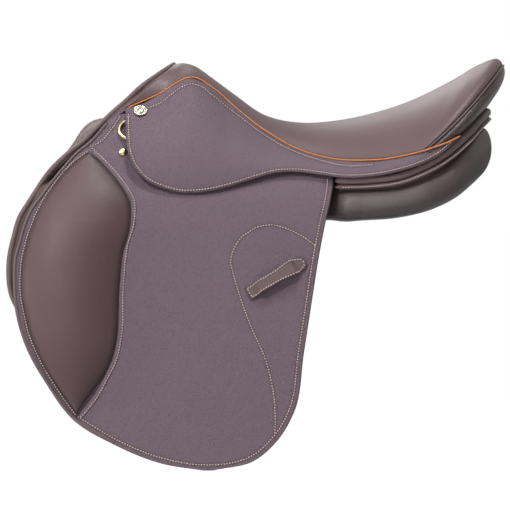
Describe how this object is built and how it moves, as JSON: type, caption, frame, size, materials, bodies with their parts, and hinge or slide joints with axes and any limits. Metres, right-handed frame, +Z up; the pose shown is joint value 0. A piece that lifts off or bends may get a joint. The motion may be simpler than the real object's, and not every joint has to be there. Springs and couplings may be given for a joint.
{
  "type": "polo saddle",
  "caption": "Leather saddle on a spring tree: padded seat, skirts, lifting flaps with knee pads, flocked panels, billets, stirrup bars with catches.",
  "frame": {"origin": "on the plane of symmetry, at the height of the panels' lowest rear line, where the back carries the saddle", "axes": "+X towards the cantle, +Y towards the off side, +Z up"},
  "size_m": [0.6052, 0.4346, 0.4906],
  "materials": {
    "flap_leather": "satin pebble grain",
    "calf_leather": "satin smooth",
    "panel_leather": "satin smooth",
    "edge_leather": "satin rolled edge",
    "strap_leather": "satin",
    "orange_piping": "satin",
    "brass": "polished",
    "nickel": "polished",
    "steel": "satin",
    "laminated_wood": "plain",
    "canvas": "woven",
    "foam": "open cell foam"
  },
  "bodies": {
    "tree": {"seat_cover": "calf_leather", "cantle_back": "calf_leather", "knee_pad_tip_left": "calf_leather", "knee_pad_tip_right": "calf_leather", "skirt_upper_left": "flap_leather", "skirt_upper_right": "flap_leather", "flap_upper_left": "flap_leather", "flap_upper_right": "flap_leather", "panel_left": "panel_leather", "panel_right": "panel_leather", "gullet_lining": "panel_leather", "rear_facing": "panel_leather", "pommel_binding": "edge_leather", "cantle_welt": "edge_leather", "sweat_flap_left": "strap_leather", "sweat_flap_right": "strap_leather", "dee_tab_left": "strap_leather", "dee_tab_right": "strap_leather", "seat_piping_left": "orange_piping", "seat_piping_right": "orange_piping", "flap_stud_left": "brass", "flap_stud_right": "brass", "head_nail_left": "nickel", "head_nail_right": "nickel", "head_plate": "steel", "stirrup_bar_left": "steel", "stirrup_bar_right": "steel", "catch_pin_left": "steel", "catch_pin_right": "steel", "cantle_frame": "laminated_wood", "point_plate_left": "laminated_wood", "point_plate_right": "laminated_wood", "tree_rail_left": "laminated_wood", "tree_rail_right": "laminated_wood", "seat_webbing": "canvas", "billet_web_left": "canvas", "billet_web_right": "canvas", "seat_foam": "foam"},
    "flap_left": {"flap_left": "flap_leather", "knee_pad_left": "calf_leather", "keeper_left": "strap_leather"},
    "skirt_left": {"skirt_left": "flap_leather"},
    "billets_left": {"billet_left_1": "strap_leather", "billet_left_2": "strap_leather", "billet_left_3": "strap_leather"},
    "guard_left": {"buckle_guard_left": "strap_leather"},
    "dee_left": {"dee_ring_left": "brass"},
    "catch_left": {"bar_catch_left": "steel"},
    "flap_right": {"flap_right": "flap_leather", "knee_pad_right": "calf_leather", "keeper_right": "strap_leather"},
    "skirt_right": {"skirt_right": "flap_leather"},
    "billets_right": {"billet_right_1": "strap_leather", "billet_right_2": "strap_leather", "billet_right_3": "strap_leather"},
    "guard_right": {"buckle_guard_right": "strap_leather"},
    "dee_right": {"dee_ring_right": "brass"},
    "catch_right": {"bar_catch_right": "steel"}
  },
  "joints": [
    {"name": "flap_lift_left", "type": "hinge", "parent": "tree", "child": "flap_left", "pos_m": [-0.14, -0.1465, 0.03], "axis": [-1, 0, 0], "range_deg": [0, 110]},
    {"name": "skirt_lift_left", "type": "hinge", "parent": "tree", "child": "skirt_left", "pos_m": [-0.197, -0.09644, 0.14313], "axis": [-0.9226, 0.1852, 0.3384], "range_deg": [0, 90]},
    {"name": "billet_swing_left", "type": "hinge", "parent": "tree", "child": "billets_left", "pos_m": [-0.056, -0.115, 0.044], "axis": [0, -0.9701, 0.2425], "range_deg": [-1.75, 1.75]},
    {"name": "guard_slide_left", "type": "slide", "parent": "billets_left", "child": "guard_left", "axis": [0, -0.2425, -0.9701], "range_m": [0, 0.045]},
    {"name": "dee_swing_left", "type": "hinge", "parent": "tree", "child": "dee_left", "pos_m": [-0.1926, -0.09119, 0.11113], "axis": [0, 0.4815, 0.8764], "range_deg": [0, 20]},
    {"name": "catch_turn_left", "type": "hinge", "parent": "tree", "child": "catch_left", "pos_m": [-0.072, -0.09489, 0.0966], "axis": [0, -0.8744, 0.4852], "range_deg": [0, 85]},
    {"name": "flap_lift_right", "type": "hinge", "parent": "tree", "child": "flap_right", "pos_m": [-0.14, 0.1465, 0.03], "axis": [1, 0, 0], "range_deg": [0, 110]},
    {"name": "skirt_lift_right", "type": "hinge", "parent": "tree", "child": "skirt_right", "pos_m": [-0.197, 0.09644, 0.14313], "axis": [0.9226, 0.1852, -0.3384], "range_deg": [0, 90]},
    {"name": "billet_swing_right", "type": "hinge", "parent": "tree", "child": "billets_right", "pos_m": [-0.056, 0.115, 0.044], "axis": [0, 0.9701, 0.2425], "range_deg": [-1.75, 1.75]},
    {"name": "guard_slide_right", "type": "slide", "parent": "billets_right", "child": "guard_right", "axis": [0, 0.2425, -0.9701], "range_m": [0, 0.045]},
    {"name": "dee_swing_right", "type": "hinge", "parent": "tree", "child": "dee_right", "pos_m": [-0.1926, 0.09119, 0.11113], "axis": [0, 0.4815, -0.8764], "range_deg": [0, 20]},
    {"name": "catch_turn_right", "type": "hinge", "parent": "tree", "child": "catch_right", "pos_m": [-0.072, 0.09489, 0.0966], "axis": [0, -0.8744, -0.4852], "range_deg": [0, 85]}
  ]
}
